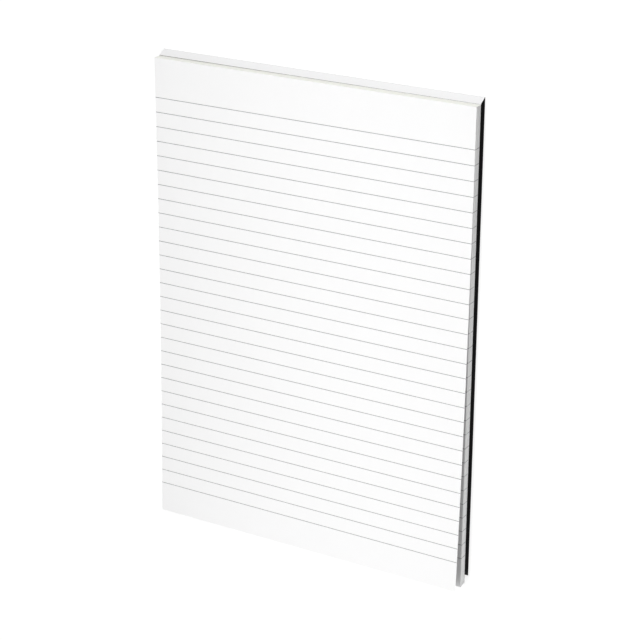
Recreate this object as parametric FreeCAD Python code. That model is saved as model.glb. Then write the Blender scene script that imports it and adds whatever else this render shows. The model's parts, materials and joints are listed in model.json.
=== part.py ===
import FreeCAD, Part
import math
import os

from FreeCAD import Vector

# An A4 writing pad, glued at the head, in a wrap-around card cover. The front cover is
# turned over the head and lies under the pad. Lengths are in millimetres and angles in
# degrees. X runs across the page, +Y towards the head and +Z up; the folded-under cover
# lies on Z = 0, with the origin under the middle of the page.

# Pages
page_width = 210.0
page_length = 297.0
sheet_count = 50
sheet_thickness = 0.106
# The top sheet leaves the block along an arc and leans this much at its foot
curl_angle = 2.6

# Ruling on the top sheet: the first rule's distance from the head, and the least space
# under the last one
first_rule = 24.15
rule_pitch = 9.05
rule_width = 0.35
foot_margin = 19.0
ink_thickness = 0.02

# Adhesive on the head of the pages
glue_thickness = 0.05

# Card cover: back panel, spine strip and front panel
card_thickness = 0.3
# How far the closed cover stops short of the pages' foot
cover_setback = 0.3
# The closed cover's play over the top sheet and over the adhesive
cover_play = 0.1
# The play between two panels at a fold
fold_play = 0.1
# The open spine strip's lean from plumb
spine_lean = 27.6

# Heights and places that follow from the sizes above
half_card = card_thickness / 2
stack_height = sheet_count * sheet_thickness
block_height = stack_height - sheet_thickness
spine_length = half_card + stack_height + cover_play + half_card
spine_slope = 90.0 - spine_lean
head_y = page_length / 2
foot_y = -page_length / 2
spine_fold_y = head_y + glue_thickness + cover_play + half_card
spine_fold_z = half_card + spine_length * math.sin(math.radians(spine_slope))
cover_fold_y = spine_fold_y + spine_length * math.cos(math.radians(spine_slope))
cover_fold_z = half_card
block_bottom = spine_fold_z + half_card
block_top = block_bottom + block_height
front_cover_length = spine_fold_y - foot_y - cover_setback

# Distances of the rules' centre lines from the head
rule_count = 1 + int((page_length - foot_margin - first_rule) / rule_pitch)
rule_centres = [first_rule + index * rule_pitch for index in range(rule_count)]

# The top sheet's arc: its underside lies on the block at the head, and its centre is above
curl_radius = page_length / math.radians(curl_angle)
curl_centre_z = block_top + curl_radius
sheet_top_radius = curl_radius - sheet_thickness


def slab(y_from, y_to, z_from, z_to):
    """A flat slab as wide as the page."""
    corner = Vector(-page_width / 2, y_from, z_from)
    return Part.makeBox(page_width, y_to - y_from, z_to - z_from, corner)


def across_the_page(outline):
    """The solid that a closed outline at the page's left edge makes across its width."""
    return Part.Face(Part.Wire(outline)).extrude(Vector(page_width, 0, 0))


def on_the_curl(distance, radius):
    """The point of the curled sheet at a distance from the head, at the left edge."""
    angle = distance / curl_radius
    y = head_y - radius * math.sin(angle)
    z = curl_centre_z - radius * math.cos(angle)
    return Vector(-page_width / 2, y, z)


def curled_layer(distances, lower_radius, upper_radius):
    """A layer that follows the curled sheet, in one span between each two distances."""
    spans = list(zip(distances, distances[1:]))
    outline = []
    for start, end in spans:
        through = [on_the_curl(place, lower_radius) for place in (start, (start + end) / 2, end)]
        outline.append(Part.Arc(*through).toShape())
    foot, head = distances[-1], distances[0]
    outline.append(Part.makeLine(on_the_curl(foot, lower_radius), on_the_curl(foot, upper_radius)))
    for start, end in reversed(spans):
        through = [on_the_curl(place, upper_radius) for place in (end, (start + end) / 2, start)]
        outline.append(Part.Arc(*through).toShape())
    outline.append(Part.makeLine(on_the_curl(head, upper_radius), on_the_curl(head, lower_radius)))
    return across_the_page(outline)


def fold_relief(closest_angle):
    """How far from its fold a panel starts, to clear its neighbour at their closest angle."""
    angle = math.radians(closest_angle)
    return (half_card * (1 + math.cos(angle)) + fold_play) / math.sin(angle)


def card_panel(start, end, round_end, turn, fold_y, fold_z):
    """A card panel that runs from a fold: start and end are its distances from the fold."""
    edge = -page_width / 2
    low_start = Vector(edge, start, -half_card)
    low_end = Vector(edge, end, -half_card)
    high_end = Vector(edge, end, half_card)
    high_start = Vector(edge, start, half_card)
    if round_end:
        tip = Part.Arc(low_end, Vector(edge, end + half_card, 0), high_end).toShape()
    else:
        tip = Part.makeLine(low_end, high_end)
    panel = across_the_page([
        Part.makeLine(low_start, low_end),
        tip,
        Part.makeLine(high_end, high_start),
        Part.makeLine(high_start, low_start),
    ])
    panel.rotate(Vector(0, 0, 0), Vector(1, 0, 0), turn)
    panel.translate(Vector(0, fold_y, fold_z))
    return panel


def make_paper_block():
    """The pages under the top sheet, held together at the head."""
    return slab(foot_y, head_y, block_bottom, block_top)


def make_top_sheet():
    """The sheet on top, which curls away from the block. Its spans meet under the rules."""
    return curled_layer([0] + rule_centres + [page_length], curl_radius, sheet_top_radius)


def make_ruled_lines():
    """The printed rules, which run the full width of the top sheet."""
    ink_radius = sheet_top_radius - ink_thickness
    half_rule = rule_width / 2
    edges = [[centre - half_rule, centre + half_rule] for centre in rule_centres]
    return Part.makeCompound([curled_layer(pair, sheet_top_radius, ink_radius) for pair in edges])


def make_head_glue():
    """The film of adhesive over the head edges of all the sheets."""
    return slab(head_y, head_y + glue_thickness, block_bottom, block_bottom + stack_height)


def make_back_cover():
    """The back panel of the cover, glued under the last sheet and rounded at the fold."""
    return card_panel(0, spine_fold_y - foot_y, True, 0, foot_y, spine_fold_z)


def make_spine_strip():
    """The strip that covers the head when the pad is closed, and leans down when it is open."""
    upright = 90.0
    return card_panel(fold_relief(upright), spine_length, True, -spine_slope, spine_fold_y, spine_fold_z)


def make_front_cover():
    """The front panel of the cover, folded back under the pad."""
    start = fold_relief(spine_slope)
    return card_panel(start, front_cover_length, False, 180, cover_fold_y, cover_fold_z)


nodes = {
    "paper_block": make_paper_block(),
    "top_sheet": make_top_sheet(),
    "ruled_lines": make_ruled_lines(),
    "head_glue": make_head_glue(),
    "back_cover": make_back_cover(),
    "spine_strip": make_spine_strip(),
    "front_cover": make_front_cover(),
}

os.makedirs("parts", exist_ok=True)
for name, shape in nodes.items():
    shape.exportStep("parts/" + name + ".step")
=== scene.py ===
import json
import math

import bpy
import numpy as np
from bpy.props import FloatProperty, FloatVectorProperty, IntProperty, PointerProperty
from mathutils import Euler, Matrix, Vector, noise


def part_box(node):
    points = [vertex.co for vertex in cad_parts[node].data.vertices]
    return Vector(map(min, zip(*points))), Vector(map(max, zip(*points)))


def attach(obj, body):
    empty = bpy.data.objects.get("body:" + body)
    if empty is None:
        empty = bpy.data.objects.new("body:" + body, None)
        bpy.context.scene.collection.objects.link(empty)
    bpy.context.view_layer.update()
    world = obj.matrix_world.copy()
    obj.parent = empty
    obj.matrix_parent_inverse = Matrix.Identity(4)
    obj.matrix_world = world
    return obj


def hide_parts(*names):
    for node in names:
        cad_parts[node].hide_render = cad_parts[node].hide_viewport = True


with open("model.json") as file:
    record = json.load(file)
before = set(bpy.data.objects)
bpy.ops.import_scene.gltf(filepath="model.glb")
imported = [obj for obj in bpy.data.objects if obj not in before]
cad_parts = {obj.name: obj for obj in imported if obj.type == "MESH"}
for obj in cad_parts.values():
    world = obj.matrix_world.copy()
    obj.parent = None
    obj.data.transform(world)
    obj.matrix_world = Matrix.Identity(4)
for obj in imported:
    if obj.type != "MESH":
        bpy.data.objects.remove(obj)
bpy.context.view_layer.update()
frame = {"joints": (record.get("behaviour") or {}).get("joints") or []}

bl_info = {
    "name": "Writing pad",
    "version": (1, 0, 0),
    "blender": (4, 5, 0),
    "location": "3D View > Sidebar > Writing pad",
    "description": "A head-glued ruled pad with its card cover folded under it",
    "category": "Object",
}

MM = 0.001

# Where the frame's solids lie at rest. The head is at high Y, and the right at high X.
PAGES_LOW, PAGES_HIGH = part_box("paper_block")
GLUE_LOW, GLUE_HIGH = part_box("head_glue")
BACK_LOW, BACK_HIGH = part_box("back_cover")
FRONT_LOW, FRONT_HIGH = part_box("front_cover")
FOLDS = {joint["name"]: Vector(joint["pos_m"]) for joint in frame["joints"]}
SPINE_FOLD = FOLDS["spine_fold"]
COVER_FOLD = FOLDS["cover_fold"]
LEFT, RIGHT = PAGES_LOW.x, PAGES_HIGH.x
HEAD, FOOT = PAGES_HIGH.y, PAGES_LOW.y
PAGE_LENGTH = HEAD - FOOT
SHEET_THICKNESS = GLUE_HIGH.z - PAGES_HIGH.z
CARD_THICKNESS = BACK_HIGH.z - BACK_LOW.z

# How finely the meshes are divided
LEAF_ROWS = 28
SHEET_ROWS = 67
SHEET_COLUMNS = 25
FILM_ROWS = 9
FILM_COLUMNS = 141
FOLD_STEPS = 10
SHARP_ANGLE = math.radians(40)

# Small sizes that nobody would change
INK_HEIGHT = 0.012 * MM
PAPER_RELIEF = 0.02 * MM
FILM_RELIEF = 0.03 * MM
FLOOR_DROP = 0.02 * MM
FLOOR_REACH = 20.0
# The share of a leaf's thickness that is left open above it
LEAF_GAP = 0.08
# The share of the edge wander by which a leaf's sides waver along their length
LEAF_WAVER = 0.3
# The spine card is this much short at each side, so that its cut edges don't lie in the
# same plane as its neighbours' at the folds
SPINE_INSET = 0.02 * MM

# The finishes of a card panel, in the order of its materials
LINING, OUTSIDE, CUT_EDGE = 0, 1, 2

WHITE = (1.0, 1.0, 1.0, 1.0)
NUMBER, COLOUR, VECTOR = "NodeSocketFloat", "NodeSocketColor", "NodeSocketVector"


class PaperSettings(bpy.types.PropertyGroup):
    """The pages and their ruling"""

    sheet_colour: FloatVectorProperty(
        name="Top sheet", description="Colour of the sheet on top",
        default=(0.93, 0.93, 0.93), subtype="COLOR", min=0, max=1)
    # Painted shade: the inner sheets are the same paper as the top sheet, made darker so that the
    # gap under the curled top sheet looks shaded.
    inner_shaded_colour: FloatVectorProperty(
        name="Inner sheets", description="Colour of the sheets under the top one",
        default=(0.80, 0.80, 0.80), subtype="COLOR", min=0, max=1)
    edge_colour: FloatVectorProperty(
        name="Cut edge", description="Colour of the block's cut edges",
        default=(0.90, 0.90, 0.895), subtype="COLOR", min=0, max=1)
    ink_colour: FloatVectorProperty(
        name="Ink", description="Colour of the printed rules",
        default=(0.26, 0.26, 0.27), subtype="COLOR", min=0, max=1)
    leaves: IntProperty(
        name="Leaves in the block", description="Sheets under the top one", default=49, min=1)
    edge_wander: FloatProperty(
        name="Edge wander", description="How far a leaf's cut edge steps back",
        default=0.07 * MM, unit="LENGTH")
    curl: FloatProperty(
        name="Curl", description="How far the top sheet leans at its foot",
        default=math.radians(2.6), min=math.radians(0.1), subtype="ANGLE")
    ripple: FloatProperty(
        name="Ripple", description="How far the top sheet waves at its foot",
        default=0.06 * MM, unit="LENGTH")
    first_rule: FloatProperty(
        name="First rule", description="The first rule's distance from the head",
        default=24.15 * MM, unit="LENGTH")
    rule_pitch: FloatProperty(
        name="Rule spacing", description="From one rule to the next",
        default=9.05 * MM, unit="LENGTH")
    rules: IntProperty(
        name="Rules", description="Printed rules on a page", default=29, min=1)
    rule_width: FloatProperty(
        name="Rule width", description="Width of a printed rule",
        default=0.35 * MM, unit="LENGTH")


class CoverSettings(bpy.types.PropertyGroup):
    """The wrap-around cover and the adhesive on the head"""

    outside_colour: FloatVectorProperty(
        name="Outside", description="Colour of the card's outside",
        default=(0.028, 0.028, 0.029), subtype="COLOR", min=0, max=1)
    core_colour: FloatVectorProperty(
        name="Cut edge", description="Colour of the card's cut edges",
        default=(0.075, 0.075, 0.076), subtype="COLOR", min=0, max=1)
    inside_colour: FloatVectorProperty(
        name="Inside", description="Colour of the card's lining",
        default=(0.93, 0.93, 0.935), subtype="COLOR", min=0, max=1)
    # Painted shade: the crease colour stands in for the shade in the gap between the adhesive film
    # and the spine fold.
    crease_shade_colour: FloatVectorProperty(
        name="Crease", description="Colour of the scored fold in the lining",
        default=(0.24, 0.225, 0.20), subtype="COLOR", min=0, max=1)
    scuff_colour: FloatVectorProperty(
        name="Scuffs", description="Colour of the rubbed folds on the outside",
        default=(0.10, 0.10, 0.10), subtype="COLOR", min=0, max=1)
    adhesive_colour: FloatVectorProperty(
        name="Adhesive", description="Colour of the film on the head",
        default=(0.97, 0.98, 0.91), subtype="COLOR", min=0, max=1)
    crease_width: FloatProperty(
        name="Crease width", description="How far the score line reaches from its fold",
        default=0.25 * MM, unit="LENGTH")
    crease_depth: FloatProperty(
        name="Crease depth", description="How deep the lining is pressed in at the score line",
        default=0.10 * MM, unit="LENGTH")
    film: FloatProperty(
        name="Film unevenness", description="How much the adhesive film thins out",
        default=0.03 * MM, unit="LENGTH")


class StudioSettings(bpy.types.PropertyGroup):
    """The light and the camera"""

    ambient: FloatProperty(name="Ambient", description="Strength of the even light", default=0.20)
    strip_power: FloatProperty(
        name="Strip light", description="Power of the strip light over the page",
        default=3.85, unit="POWER")
    strip_place: FloatVectorProperty(
        name="Strip light place", description="Centre of the strip light",
        default=(0.055, -0.05, 0.55), subtype="TRANSLATION", unit="LENGTH")
    strip_size: FloatVectorProperty(
        name="Strip light size", description="The strip light's width and length",
        default=(0.16, 1.4), size=2, unit="LENGTH")
    side_power: FloatProperty(
        name="Side light", description="Power of the low light at the pad's right",
        default=1.75, unit="POWER")
    side_place: FloatVectorProperty(
        name="Side light place", description="Centre of the low light at the right",
        default=(0.55, -0.45, 0.06), subtype="TRANSLATION", unit="LENGTH")
    side_size: FloatVectorProperty(
        name="Side light size", description="The side light's width and height",
        default=(0.8, 0.1), size=2, unit="LENGTH")
    head_power: FloatProperty(
        name="Head light", description="Power of the light beyond the pad's head",
        default=9.0, unit="POWER")
    head_place: FloatVectorProperty(
        name="Head light place", description="Centre of the light beyond the head",
        default=(0.3, 1.5, 0.6), subtype="TRANSLATION", unit="LENGTH")
    head_size: FloatVectorProperty(
        name="Head light size", description="The head light's width and length",
        default=(0.8, 0.8), size=2, unit="LENGTH")
    camera_place: FloatVectorProperty(
        name="Camera place", description="Where the camera stands",
        default=(0.53136, 0.43801, 0.92754), subtype="TRANSLATION", unit="LENGTH")
    camera_turn: FloatVectorProperty(
        name="Camera turn", description="The camera's rotation",
        default=(math.radians(-22.258), math.radians(29.770), math.radians(0.142)),
        subtype="EULER", unit="ROTATION")
    lens: FloatProperty(
        name="Lens", description="Focal length on a 36 mm sensor", default=108.62, unit="CAMERA")


def closed_grid(lower, upper):
    """Points and faces of a closed layer between two grids of points, and its wide faces' count.

    The grids' points run so that a row crossed with a column points away from the upper grid.
    """
    rows, columns = lower.shape[:2]
    points = np.concatenate([lower.reshape(-1, 3), upper.reshape(-1, 3)])
    low, high = np.arange(2 * rows * columns).reshape(2, rows, columns)
    corners = [
        (low[:-1, :-1], low[:-1, 1:], low[1:, 1:], low[1:, :-1]),
        (high[:-1, :-1], high[1:, :-1], high[1:, 1:], high[:-1, 1:]),
        (low[:-1, 0], low[1:, 0], high[1:, 0], high[:-1, 0]),
        (low[:-1, -1], high[:-1, -1], high[1:, -1], low[1:, -1]),
        (low[0, :-1], high[0, :-1], high[0, 1:], low[0, 1:]),
        (low[-1, :-1], low[-1, 1:], high[-1, 1:], high[-1, :-1]),
    ]
    faces = [np.stack([corner.ravel() for corner in four], axis=1) for four in corners]
    return points, np.concatenate(faces), 2 * (rows - 1) * (columns - 1)


def new_piece(name, points, faces, finishes, materials):
    """An object from points and faces, with the number of each face's material."""
    mesh = bpy.data.meshes.new(name)
    mesh.from_pydata(points, [], faces)
    for material in materials:
        mesh.materials.append(material)
    mesh.polygons.foreach_set("material_index", np.array(finishes, np.int32))
    mesh.update()
    piece = bpy.data.objects.new(name, mesh)
    bpy.context.scene.collection.objects.link(piece)
    return piece


def layers_object(name, layers, materials):
    """An object of closed layers. Wide faces take the first material and cut edges the last."""
    points, faces, finishes, offset = [], [], [], 0
    for layer_points, layer_faces, wide in layers:
        points += layer_points.tolist()
        faces += (layer_faces + offset).tolist()
        finishes += [0] * wide + [len(materials) - 1] * (len(layer_faces) - wide)
        offset += len(layer_points)
    return new_piece(name, points, faces, finishes, materials)


def smooth(piece):
    """Shades a piece smooth, apart from its sharp edges."""
    piece.data.shade_smooth()
    piece.data.set_sharp_from_angle(angle=SHARP_ANGLE)


def wander(x, y, z):
    """Smooth noise from -1 to 1, the same every run, that changes about once per unit."""
    return noise.noise(Vector((x, y, z)))


def curl_point(x, distance, above, paper):
    """A point of the curled top sheet, from its distance from the head and height on the sheet."""
    radius = PAGE_LENGTH / paper.curl
    angle = distance / radius
    share = distance / PAGE_LENGTH
    ripple = paper.ripple * share ** 2 * (1 + wander(x * 16, distance * 11, 0.5))
    reach = radius - above - ripple
    y = HEAD - reach * math.sin(angle)
    z = PAGES_HIGH.z + radius - reach * math.cos(angle)
    return x, y, z


def curl_layer(distances, low, high, paper):
    """A closed layer on the curled sheet, between two heights above the sheet's underside."""
    columns = np.linspace(LEFT, RIGHT, SHEET_COLUMNS)
    grids = []
    for above in (low, high):
        rows = [[curl_point(x, distance, above, paper) for x in columns] for distance in distances]
        grids.append(np.array(rows))
    return closed_grid(*grids)


def opaque(colour):
    """A colour with full alpha, as a node's socket takes it."""
    return (*colour, 1.0)


class Nodes:
    """A short way to write a node tree."""

    def __init__(self, tree):
        self.tree = tree

    def add(self, kind, inputs=None, **settings):
        """A new node, with its inputs set to values or linked to sockets."""
        made = self.tree.nodes.new(kind)
        for key, value in settings.items():
            setattr(made, key, value)
        for key, value in (inputs or {}).items():
            if isinstance(value, bpy.types.NodeSocket):
                self.link(value, made.inputs[key])
            else:
                made.inputs[key].default_value = value
        return made

    def link(self, output, into):
        self.tree.links.new(output, into)

    def place(self):
        """Where the surface lies on the pad at rest."""
        return self.add("ShaderNodeTexCoord").outputs["Object"]

    def stretch(self, place, scale, turn=(0.0, 0.0, 0.0)):
        inputs = {"Vector": place, "Rotation": turn, "Scale": scale}
        return self.add("ShaderNodeMapping", inputs).outputs[0]

    def cloud(self, place, scale, detail, roughness=0.5, distortion=0.0):
        """Noise from 0 to 1."""
        inputs = {"Vector": place, "Scale": scale, "Detail": detail, "Roughness": roughness,
                  "Distortion": distortion}
        return self.add("ShaderNodeTexNoise", inputs).outputs["Fac"]

    def math(self, operation, *values):
        inputs = dict(enumerate(values))
        return self.add("ShaderNodeMath", inputs, operation=operation).outputs[0]

    def vector(self, operation, *values):
        inputs = dict(enumerate(values))
        return self.add("ShaderNodeVectorMath", inputs, operation=operation).outputs

    def mix(self, factor, first, second, blend="MIX"):
        """A mix of two colours."""
        inputs = {"Factor": factor, 6: first, 7: second}
        made = self.add("ShaderNodeMix", inputs, data_type="RGBA", blend_type=blend)
        return made.outputs[2]

    def spread(self, value, low, high, to_low, to_high):
        """A value carried over from one range to another, and held at its ends."""
        inputs = {"Value": value, "From Min": low, "From Max": high,
                  "To Min": to_low, "To Max": to_high}
        return self.add("ShaderNodeMapRange", inputs).outputs["Result"]

    def group(self, name, make, values):
        """A shared node group, made the first time that it is asked for, with its values."""
        made = self.add("ShaderNodeGroup", node_tree=bpy.data.node_groups.get(name) or make())
        for key, value in values.items():
            made.inputs[key].default_value = value
        return made.outputs


def new_group(name, inputs, outputs):
    """A new shader node group: its helper, the sockets that it is given and those it fills."""
    tree = bpy.data.node_groups.new(name, "ShaderNodeTree")
    for label, kind, default in inputs:
        socket = tree.interface.new_socket(label, in_out="INPUT", socket_type=kind)
        socket.default_value = default
    for label, kind in outputs:
        tree.interface.new_socket(label, in_out="OUTPUT", socket_type=kind)
    nodes = Nodes(tree)
    return nodes, nodes.add("NodeGroupInput").outputs, nodes.add("NodeGroupOutput").inputs


def fibre_group():
    """Paper fibre: a colour with faint mottling and fibres, and a height for bump."""
    nodes, given, result = new_group(
        "Paper fibre",
        [("Colour", COLOUR, (0.9, 0.9, 0.9, 1)), ("Grain", NUMBER, 1500.0),
         ("Mottle", NUMBER, 0.03), ("Fibres", NUMBER, 0.02)],
        [("Colour", COLOUR), ("Height", NUMBER)],
    )
    place = nodes.place()
    cloud = nodes.cloud(place, scale=60.0, detail=4.0, roughness=0.6)
    grain = nodes.cloud(place, scale=given["Grain"], detail=3.0)
    stretched = nodes.stretch(place, (1.0, 7.0, 7.0), turn=(0.0, 0.0, 0.5))
    fibre = nodes.cloud(stretched, scale=260.0, detail=2.0, distortion=1.5)
    strand = nodes.spread(fibre, 0.62, 0.72, 0.0, 1.0)
    mottled = nodes.math("MULTIPLY_ADD", nodes.math("SUBTRACT", cloud, 0.5), given["Mottle"], 1.0)
    shade = nodes.math("SUBTRACT", mottled, nodes.math("MULTIPLY", strand, given["Fibres"]))
    grey = nodes.add("ShaderNodeCombineColor", {"Red": shade, "Green": shade, "Blue": shade})
    nodes.link(nodes.mix(1.0, given["Colour"], grey.outputs[0], "MULTIPLY"), result["Colour"])
    rough, ridges = nodes.math("MULTIPLY", grain, 0.7), nodes.math("MULTIPLY", strand, 0.3)
    nodes.link(nodes.math("ADD", rough, ridges), result["Height"])
    return nodes.tree


def ruling_group():
    """Ruling: a mask that is 1 on the printed rules, by the distance from the head."""
    nodes, given, result = new_group(
        "Ruling",
        [("Head", NUMBER, 0.1), ("First rule", NUMBER, 0.02), ("Spacing", NUMBER, 0.009),
         ("Rules", NUMBER, 29.0), ("Width", NUMBER, 0.0004)],
        [("Mask", NUMBER)],
    )
    y = nodes.add("ShaderNodeSeparateXYZ", {0: nodes.place()}).outputs["Y"]
    from_head = nodes.math("SUBTRACT", given["Head"], y)
    from_first = nodes.math("SUBTRACT", from_head, given["First rule"])
    turns = nodes.math("DIVIDE", from_first, given["Spacing"])
    nearest = nodes.math("ROUND", turns)
    off = nodes.math("ABSOLUTE", nodes.math("SUBTRACT", turns, nearest))
    near = nodes.math("MULTIPLY", off, given["Spacing"])
    inked = nodes.math("LESS_THAN", near, nodes.math("MULTIPLY", given["Width"], 0.5))
    started = nodes.math("GREATER_THAN", nearest, -0.5)
    ended = nodes.math("LESS_THAN", nearest, nodes.math("SUBTRACT", given["Rules"], 0.5))
    mask = nodes.math("MULTIPLY", inked, nodes.math("MULTIPLY", started, ended))
    nodes.link(mask, result["Mask"])
    return nodes.tree


def fold_wear_and_shade_group():
    """Fold wear and painted shade: a mask that is 1 along a fold line and fades to 0 away from it,
    used for wear on the folds and for painted shade along the scored line by the head.

    Patches is the share that is lost in patches, and Fade the share that is lost from the
    pad's left to its right, which makes the painted shade lighter towards the right.
    """
    nodes, given, result = new_group(
        "Fold wear and painted shade",
        [("Fold", VECTOR, (0.0, 0.0, 0.0)), ("Reach", NUMBER, 0.0003),
         ("Patches", NUMBER, 0.3), ("Fade", NUMBER, 0.0)],
        [("Mask", NUMBER)],
    )
    place = nodes.place()
    away = nodes.vector("SUBTRACT", place, given["Fold"])[0]
    level = nodes.vector("MULTIPLY", away, (0.0, 1.0, 1.0))[0]
    distance = nodes.vector("LENGTH", level)["Value"]
    near = nodes.spread(nodes.math("DIVIDE", distance, given["Reach"]), 0.35, 1.0, 1.0, 0.0)
    patch = nodes.cloud(place, scale=45.0, detail=5.0, roughness=0.7)
    worn = nodes.math("MULTIPLY", nodes.spread(patch, 0.4, 0.62, 0.0, 1.0), given["Patches"])
    x = nodes.add("ShaderNodeSeparateXYZ", {0: place}).outputs["X"]
    faded = nodes.math("MULTIPLY", nodes.spread(x, LEFT, RIGHT, 0.0, 1.0), given["Fade"])
    unworn, unfaded = nodes.math("SUBTRACT", 1.0, worn), nodes.math("SUBTRACT", 1.0, faded)
    mask = nodes.math("MULTIPLY", near, nodes.math("MULTIPLY", unworn, unfaded))
    nodes.link(mask, result["Mask"])
    return nodes.tree


def new_material(name, roughness, sheen):
    """A material with one Principled BSDF, its helper and that shader."""
    made = bpy.data.materials.new(name)
    made.use_nodes = True
    shader = made.node_tree.nodes["Principled BSDF"]
    shader.inputs["Roughness"].default_value = roughness
    shader.inputs["Specular IOR Level"].default_value = sheen
    return made, Nodes(made.node_tree), shader


def add_relief(nodes, shader, height, strength, depth):
    """Puts a height on a shader as bump."""
    inputs = {"Height": height, "Strength": strength, "Distance": depth}
    nodes.link(nodes.add("ShaderNodeBump", inputs).outputs[0], shader.inputs["Normal"])


def add_fibre(nodes, shader, colour, grain, mottle, fibres, relief):
    """Puts the paper fibre group on a shader's colour and bump, and returns its colour."""
    values = {"Colour": opaque(colour), "Grain": grain, "Mottle": mottle, "Fibres": fibres}
    fibre = nodes.group("Paper fibre", fibre_group, values)
    add_relief(nodes, shader, fibre["Height"], relief, PAPER_RELIEF)
    nodes.link(fibre["Colour"], shader.inputs["Base Color"])
    return fibre["Colour"]


def ruling_mask(nodes, paper):
    """The ruling group's mask, set to the pad's own ruling."""
    values = {"Head": HEAD, "First rule": paper.first_rule, "Spacing": paper.rule_pitch,
              "Rules": float(paper.rules), "Width": paper.rule_width}
    return nodes.group("Ruling", ruling_group, values)["Mask"]


def add_fold_wear_and_shade(nodes, shader, plain, fold, colour, reach, patches, fade=0.0):
    """Tints a shader's colour along a fold line, and returns the tinted colour; the tint is wear at
    the cover's folds and painted shade at the scored line by the head.
    """
    values = {"Fold": fold, "Reach": reach, "Patches": patches, "Fade": fade}
    mask = nodes.group("Fold wear and painted shade", fold_wear_and_shade_group, values)["Mask"]
    tinted = nodes.mix(mask, plain, opaque(colour))
    nodes.link(tinted, shader.inputs["Base Color"])
    return tinted


def inner_paper_with_painted_shade(paper):
    """Uncoated white writing paper, with the rules as colour, made darker than the top sheet's
    paper as painted shade for the gap under the curled sheet.
    """
    made, nodes, shader = new_material("writing_paper_painted_shade", roughness=0.85, sheen=0.25)
    plain = add_fibre(
        nodes, shader, paper.inner_shaded_colour, grain=1500.0, mottle=0.02, fibres=0.012, relief=0.25)
    inked = nodes.mix(ruling_mask(nodes, paper), plain, opaque(paper.ink_colour))
    nodes.link(inked, shader.inputs["Base Color"])
    return made


def top_paper(paper):
    """The same paper for the top sheet, whose rules are strips that lie on it."""
    made, nodes, shader = new_material("top_sheet_paper", roughness=0.85, sheen=0.25)
    add_fibre(
        nodes, shader, paper.sheet_colour, grain=1500.0, mottle=0.02, fibres=0.012, relief=0.25)
    return made


def cut_paper_edge(paper):
    """The block's cut edges: faint stripes from sheet to sheet, and the ends of the rules."""
    made, nodes, shader = new_material("cut_paper_edge", roughness=0.9, sheen=0.25)
    plain = add_fibre(
        nodes, shader, paper.edge_colour, grain=2500.0, mottle=0.05, fibres=0.02, relief=0.3)
    across = nodes.stretch(nodes.place(), (6.0, 6.0, 2600.0))
    stripes = nodes.spread(nodes.cloud(across, scale=1.0, detail=1.0), 0.3, 0.7, 0.0, 0.3)
    striped = nodes.mix(stripes, plain, opaque((0.45, 0.45, 0.45)))
    rule_ends = nodes.math("MULTIPLY", ruling_mask(nodes, paper), 0.8)
    marked = nodes.mix(rule_ends, striped, opaque(paper.ink_colour))
    nodes.link(marked, shader.inputs["Base Color"])
    return made


def rule_ink(paper):
    """Grey printing ink that the paper's grain breaks up a little."""
    made, nodes, shader = new_material("rule_ink", roughness=0.6, sheen=0.3)
    add_fibre(nodes, shader, paper.ink_colour, grain=3000.0, mottle=0.25, fibres=0.0, relief=0.2)
    return made


def padding_adhesive(cover):
    """A thin milky film of adhesive, brushed along the head over the sheets' edges."""
    made, nodes, shader = new_material("padding_adhesive", roughness=0.35, sheen=0.4)
    place = nodes.place()
    streak = nodes.cloud(nodes.stretch(place, (40.0, 900.0, 900.0)), scale=1.0, detail=3.0)
    thin = nodes.spread(streak, 0.35, 0.7, 0.0, 0.6)
    milky = nodes.mix(thin, opaque(cover.adhesive_colour), opaque((0.98, 0.98, 0.95)))
    sheets = nodes.cloud(nodes.stretch(place, (25.0, 25.0, 4500.0)), scale=1.0, detail=2.0)
    showing = nodes.spread(sheets, 0.5, 0.75, 0.0, 0.6)
    colour = nodes.mix(showing, milky, opaque((0.80, 0.80, 0.74)))
    nodes.link(colour, shader.inputs["Base Color"])
    nodes.link(nodes.spread(streak, 0.2, 0.8, 0.28, 0.5), shader.inputs["Roughness"])
    add_relief(nodes, shader, streak, 0.4, FILM_RELIEF)
    return made


def black_card(cover):
    """Smooth black card with a low sheen, rubbed lighter along its folds."""
    made, nodes, shader = new_material("black_card", roughness=0.5, sheen=0.2)
    colour = add_fibre(
        nodes, shader, cover.outside_colour, grain=2200.0, mottle=0.5, fibres=0.0, relief=0.25)
    for fold in (SPINE_FOLD, COVER_FOLD):
        colour = add_fold_wear_and_shade(
            nodes, shader, colour, fold, cover.scuff_colour, reach=0.45 * MM, patches=0.9)
    return made


def white_lining(cover):
    """The card's uncoated white lining, greyed along the cover fold, with painted shade along the
    scored line by the spine fold.
    """
    made, nodes, shader = new_material("white_lining", roughness=0.8, sheen=0.25)
    colour = add_fibre(
        nodes, shader, cover.inside_colour, grain=1800.0, mottle=0.02, fibres=0.01, relief=0.2)
    # Painted shade: the dark line in the gap between the adhesive film and the spine fold, drawn
    # over the scored groove and fading towards the pad's right.
    score = Vector((0, SPINE_FOLD.y - cover.crease_width / 2, BACK_HIGH.z))
    colour = add_fold_wear_and_shade(
        nodes, shader, colour, score, cover.crease_shade_colour, reach=0.28 * MM, patches=0.35, fade=0.75)
    add_fold_wear_and_shade(nodes, shader, colour, COVER_FOLD, (0.7, 0.7, 0.7), reach=0.25 * MM, patches=0.9)
    return made


def card_cut_edge(cover):
    """The dark fibres of the card's cut edges."""
    made, nodes, shader = new_material("card_cut_edge", roughness=0.9, sheen=0.25)
    add_fibre(nodes, shader, cover.core_colour, grain=4000.0, mottle=0.6, fibres=0.0, relief=0.4)
    return made


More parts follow.
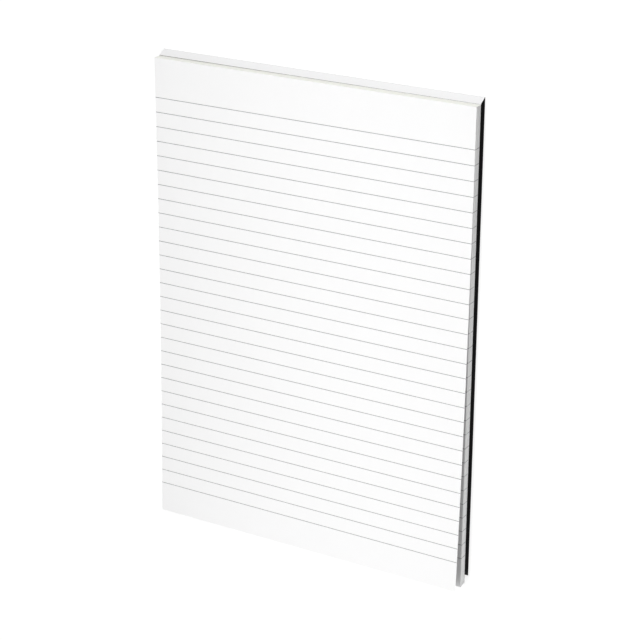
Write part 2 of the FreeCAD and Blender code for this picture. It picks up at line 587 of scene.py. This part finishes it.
def make_page_leaves(paper):
    """The leaves of the block, each a little back from its neighbours at the cut sides."""
    step = (PAGES_HIGH.z - PAGES_LOW.z) / paper.leaves
    layers = []
    for leaf in range(paper.leaves):
        low = PAGES_LOW.z + leaf * step
        left, right, foot = [
            paper.edge_wander * abs(wander(leaf * 7.3, side * 5.1, 0.2)) for side in (1, 2, 3)]
        grids = []
        for z in (low, low + step * (1 - LEAF_GAP)):
            grid = []
            for place in np.linspace(HEAD, FOOT, LEAF_ROWS):
                waver = paper.edge_wander * LEAF_WAVER * (1 + wander(place * 25, leaf * 3.7, 0.9))
                y = max(place, FOOT + foot)
                grid.append([(LEFT + left + waver, y, z), (RIGHT - right - waver, y, z)])
            grids.append(np.array(grid))
        layers.append(closed_grid(*grids))
    return layers_object("page_leaves", layers, [inner_paper_with_painted_shade(paper), cut_paper_edge(paper)])


def make_curled_sheet(paper):
    """The top sheet, lifting off the block along its curl."""
    distances = np.linspace(0, PAGE_LENGTH, SHEET_ROWS)
    layer = curl_layer(distances, 0, SHEET_THICKNESS, paper)
    sheet = layers_object("curled_sheet", [layer], [top_paper(paper)])
    smooth(sheet)
    return sheet


def make_rules(paper):
    """The rules printed on the top sheet, as thin strips that follow its curl."""
    layers = []
    for index in range(paper.rules):
        centre = paper.first_rule + index * paper.rule_pitch
        edges = (centre - paper.rule_width / 2, centre + paper.rule_width / 2)
        layers.append(curl_layer(edges, SHEET_THICKNESS, SHEET_THICKNESS + INK_HEIGHT, paper))
    return layers_object("printed_rules", layers, [rule_ink(paper)])


def make_adhesive(cover):
    """The film of adhesive on the head, thicker in some places than in others."""
    columns = np.linspace(RIGHT, LEFT, FILM_COLUMNS)
    inner, outer = [], []
    for z in np.linspace(GLUE_HIGH.z, GLUE_LOW.z, FILM_ROWS):
        inner.append([(x, GLUE_LOW.y, z) for x in columns])
        thinning = [cover.film * (0.5 + 0.5 * wander(x * 90, z * 600, 0.1)) for x in columns]
        outer.append([(x, GLUE_HIGH.y - thinner, z) for x, thinner in zip(columns, thinning)])
    layer = closed_grid(np.array(inner), np.array(outer))
    film = layers_object("adhesive_film", [layer], [padding_adhesive(cover)])
    smooth(film)
    return film


def card_profile(length, scored, far_fold, cover):
    """A card panel's outline, as places along and off its fold line and each stretch's finish.

    Its ends at the folds are round, so that two panels meet on their fold line however far
    it is turned.
    """
    half = CARD_THICKNESS / 2
    rising = [math.pi * (step / FOLD_STEPS - 0.5) for step in range(FOLD_STEPS)]
    falling = [math.pi * (0.5 - step / FOLD_STEPS) for step in range(FOLD_STEPS)]
    outline = []
    for angle in rising:
        finish = OUTSIDE if angle < 0 else LINING
        outline.append((-half * math.cos(angle), half * math.sin(angle), finish))
    outline.append((0, half, LINING))
    if scored:
        bottom = half - cover.crease_depth
        outline.append((0.3 * cover.crease_width, bottom, LINING))
        outline.append((0.7 * cover.crease_width, bottom, LINING))
        outline.append((cover.crease_width, half, LINING))
    if far_fold:
        for angle in falling:
            finish = OUTSIDE if angle <= 0 else LINING
            outline.append((length + half * math.cos(angle), half * math.sin(angle), finish))
    else:
        outline.append((length, half, CUT_EDGE))
    outline.append((length, -half, OUTSIDE))
    return outline


def card_panel(name, fold, along, inward, inset, outline, materials):
    """A card panel across the page, from its outline along and off a fold line."""
    points = [
        (x, *(fold + along * a + inward * n).yz)
        for x in (LEFT + inset, RIGHT - inset) for a, n, finish in outline]
    count = len(outline)
    faces = [list(range(count)), list(range(2 * count - 1, count - 1, -1))]
    finishes = [CUT_EDGE, CUT_EDGE]
    for index, (a, n, finish) in enumerate(outline):
        after = (index + 1) % count
        faces.append([index, index + count, after + count, after])
        finishes.append(finish)
    if along.cross(inward).x < 0:
        faces = [face[::-1] for face in faces]
    return new_piece(name, points, faces, finishes, materials)


class PAD_OT_pages(bpy.types.Operator):
    """Builds the block of leaves under the top sheet"""

    bl_idname = "pad.pages"
    bl_label = "Pages"

    def execute(self, context):
        leaves = make_page_leaves(context.scene.pad_paper)
        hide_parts("paper_block")
        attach(leaves, "pad")
        return {"FINISHED"}


class PAD_OT_top_sheet(bpy.types.Operator):
    """Builds the curled top sheet and its printed rules"""

    bl_idname = "pad.top_sheet"
    bl_label = "Top sheet and rules"

    def execute(self, context):
        paper = context.scene.pad_paper
        sheet = make_curled_sheet(paper)
        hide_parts("top_sheet")
        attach(sheet, "pad")
        rules = make_rules(paper)
        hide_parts("ruled_lines")
        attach(rules, "pad")
        return {"FINISHED"}


class PAD_OT_adhesive(bpy.types.Operator):
    """Builds the film of adhesive on the head"""

    bl_idname = "pad.adhesive"
    bl_label = "Head adhesive"

    def execute(self, context):
        film = make_adhesive(context.scene.pad_cover)
        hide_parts("head_glue")
        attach(film, "pad")
        return {"FINISHED"}


class PAD_OT_cover(bpy.types.Operator):
    """Builds the cover's back panel, spine strip and front panel"""

    bl_idname = "pad.cover"
    bl_label = "Card cover"

    def execute(self, context):
        cover = context.scene.pad_cover
        materials = [white_lining(cover), black_card(cover), card_cut_edge(cover)]
        down_strip = (COVER_FOLD - SPINE_FOLD).normalized()
        off_strip = Vector((0, -down_strip.z, down_strip.y))
        to_foot, up, down = Vector((0, -1, 0)), Vector((0, 0, 1)), Vector((0, 0, -1))
        panels = [
            ("back_panel", "back_cover", "pad", SPINE_FOLD, to_foot, up, 0,
             card_profile(SPINE_FOLD.y - BACK_LOW.y, True, False, cover)),
            ("spine_card", "spine_strip", "spine", SPINE_FOLD, down_strip, off_strip, SPINE_INSET,
             card_profile((COVER_FOLD - SPINE_FOLD).length, False, True, cover)),
            ("front_panel", "front_cover", "cover", COVER_FOLD, to_foot, down, 0,
             card_profile(COVER_FOLD.y - FRONT_LOW.y, False, False, cover)),
        ]
        for name, node, body, fold, along, inward, inset, outline in panels:
            panel = card_panel(name, fold, along, inward, inset, outline, materials)
            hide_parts(node)
            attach(panel, body)
        return {"FINISHED"}


def seen_rays(nodes):
    """A value that is 1 for the rays that show the floor and the world, and 0 for the others."""
    path = nodes.add("ShaderNodeLightPath").outputs
    direct = nodes.math("MAXIMUM", path["Is Camera Ray"], path["Is Glossy Ray"])
    return nodes.math("MAXIMUM", direct, path["Is Transmission Ray"])


def floor_material():
    """A floor that looks white with the object's shadow, and bounces less light than that."""
    made, nodes, shader = new_material("studio_floor", roughness=0.9, sheen=0.2)
    shader.inputs["Base Color"].default_value = opaque((0.55, 0.55, 0.55))
    shadowed = nodes.add("ShaderNodeBsdfDiffuse", {"Color": opaque((0.35, 0.35, 0.35))})
    away = nodes.vector("LENGTH", nodes.place())["Value"]
    strength = nodes.spread(away, 0.25, 0.9, 0.75, 1.0)
    lift = nodes.add("ShaderNodeEmission", {"Color": WHITE, "Strength": strength})
    white = nodes.add("ShaderNodeAddShader", {0: shadowed.outputs[0], 1: lift.outputs[0]})
    both = nodes.add("ShaderNodeMixShader", {
        0: seen_rays(nodes), 1: shader.outputs[0], 2: white.outputs[0]})
    nodes.link(both.outputs[0], made.node_tree.nodes["Material Output"].inputs["Surface"])
    return made


def make_floor():
    """A wide floor just under the object."""
    sides = ((-1, -1), (1, -1), (1, 1), (-1, 1))
    points = [(x * FLOOR_REACH, y * FLOOR_REACH, -FLOOR_DROP) for x, y in sides]
    floor = new_piece("floor", points, [(0, 1, 2, 3)], [0], [floor_material()])


def make_world(studio):
    """A world that looks white and gives an even light."""
    world = bpy.data.worlds.new("studio_world")
    world.use_nodes = True
    nodes = Nodes(world.node_tree)
    even = world.node_tree.nodes["Background"]
    even.inputs["Color"].default_value = WHITE
    even.inputs["Strength"].default_value = studio.ambient
    seen = nodes.add("ShaderNodeBackground", {"Color": WHITE, "Strength": 1.0})
    both = nodes.add("ShaderNodeMixShader", {
        0: seen_rays(nodes), 1: even.outputs[0], 2: seen.outputs[0]})
    nodes.link(both.outputs[0], world.node_tree.nodes["World Output"].inputs["Surface"])
    bpy.context.scene.world = world


def make_lamp(name, power, place, size, aim):
    """A rectangular lamp that points at a place."""
    lamp = bpy.data.lights.new(name, "AREA")
    lamp.energy = power
    lamp.shape = "RECTANGLE"
    lamp.size, lamp.size_y = size
    holder = bpy.data.objects.new(name, lamp)
    holder.location = place
    holder.rotation_euler = (Vector(aim) - Vector(place)).to_track_quat("-Z", "Y").to_euler()
    bpy.context.scene.collection.objects.link(holder)


def make_camera(studio):
    """The camera at the photograph's viewing angle."""
    camera = bpy.data.cameras.new("camera")
    camera.lens = studio.lens
    camera.sensor_width = 36.0
    camera.clip_start = 0.01
    holder = bpy.data.objects.new("camera", camera)
    holder.location = studio.camera_place
    holder.rotation_euler = Euler(studio.camera_turn)
    bpy.context.scene.collection.objects.link(holder)
    bpy.context.scene.camera = holder


class PAD_OT_studio(bpy.types.Operator):
    """Sets the floor, the light and the camera"""

    bl_idname = "pad.studio"
    bl_label = "Studio"

    def execute(self, context):
        studio = context.scene.pad_studio
        pad = (0, 0, 0)
        below = (studio.strip_place[0], studio.strip_place[1], 0)
        make_floor()
        make_world(studio)
        make_lamp("strip_light", studio.strip_power, studio.strip_place, studio.strip_size, below)
        make_lamp("side_light", studio.side_power, studio.side_place, studio.side_size, pad)
        make_lamp("head_light", studio.head_power, studio.head_place, studio.head_size, pad)
        make_camera(studio)
        context.scene.view_settings.view_transform = "Standard"
        return {"FINISHED"}


class PAD_PT_panel(bpy.types.Panel):
    """The writing pad's pieces and studio"""

    bl_idname = "PAD_PT_panel"
    bl_label = "Writing pad"
    bl_space_type = "VIEW_3D"
    bl_region_type = "UI"
    bl_category = "Writing pad"

    def draw(self, context):
        groups = (context.scene.pad_paper, context.scene.pad_cover, context.scene.pad_studio)
        for operator in OPERATORS:
            self.layout.operator(operator.bl_idname)
        for group in groups:
            for name in group.__annotations__:
                self.layout.prop(group, name)


OPERATORS = (PAD_OT_pages, PAD_OT_top_sheet, PAD_OT_adhesive, PAD_OT_cover, PAD_OT_studio)
CLASSES = (PaperSettings, CoverSettings, StudioSettings, *OPERATORS, PAD_PT_panel)


def register():
    for each in CLASSES:
        bpy.utils.register_class(each)
    bpy.types.Scene.pad_paper = PointerProperty(type=PaperSettings)
    bpy.types.Scene.pad_cover = PointerProperty(type=CoverSettings)
    bpy.types.Scene.pad_studio = PointerProperty(type=StudioSettings)


def unregister():
    del bpy.types.Scene.pad_studio
    del bpy.types.Scene.pad_cover
    del bpy.types.Scene.pad_paper
    for each in reversed(CLASSES):
        bpy.utils.unregister_class(each)


def main():
    register()
    bpy.ops.pad.pages()
    bpy.ops.pad.top_sheet()
    bpy.ops.pad.adhesive()
    bpy.ops.pad.cover()
    bpy.ops.pad.studio()


if __name__ == "__main__":
    main()
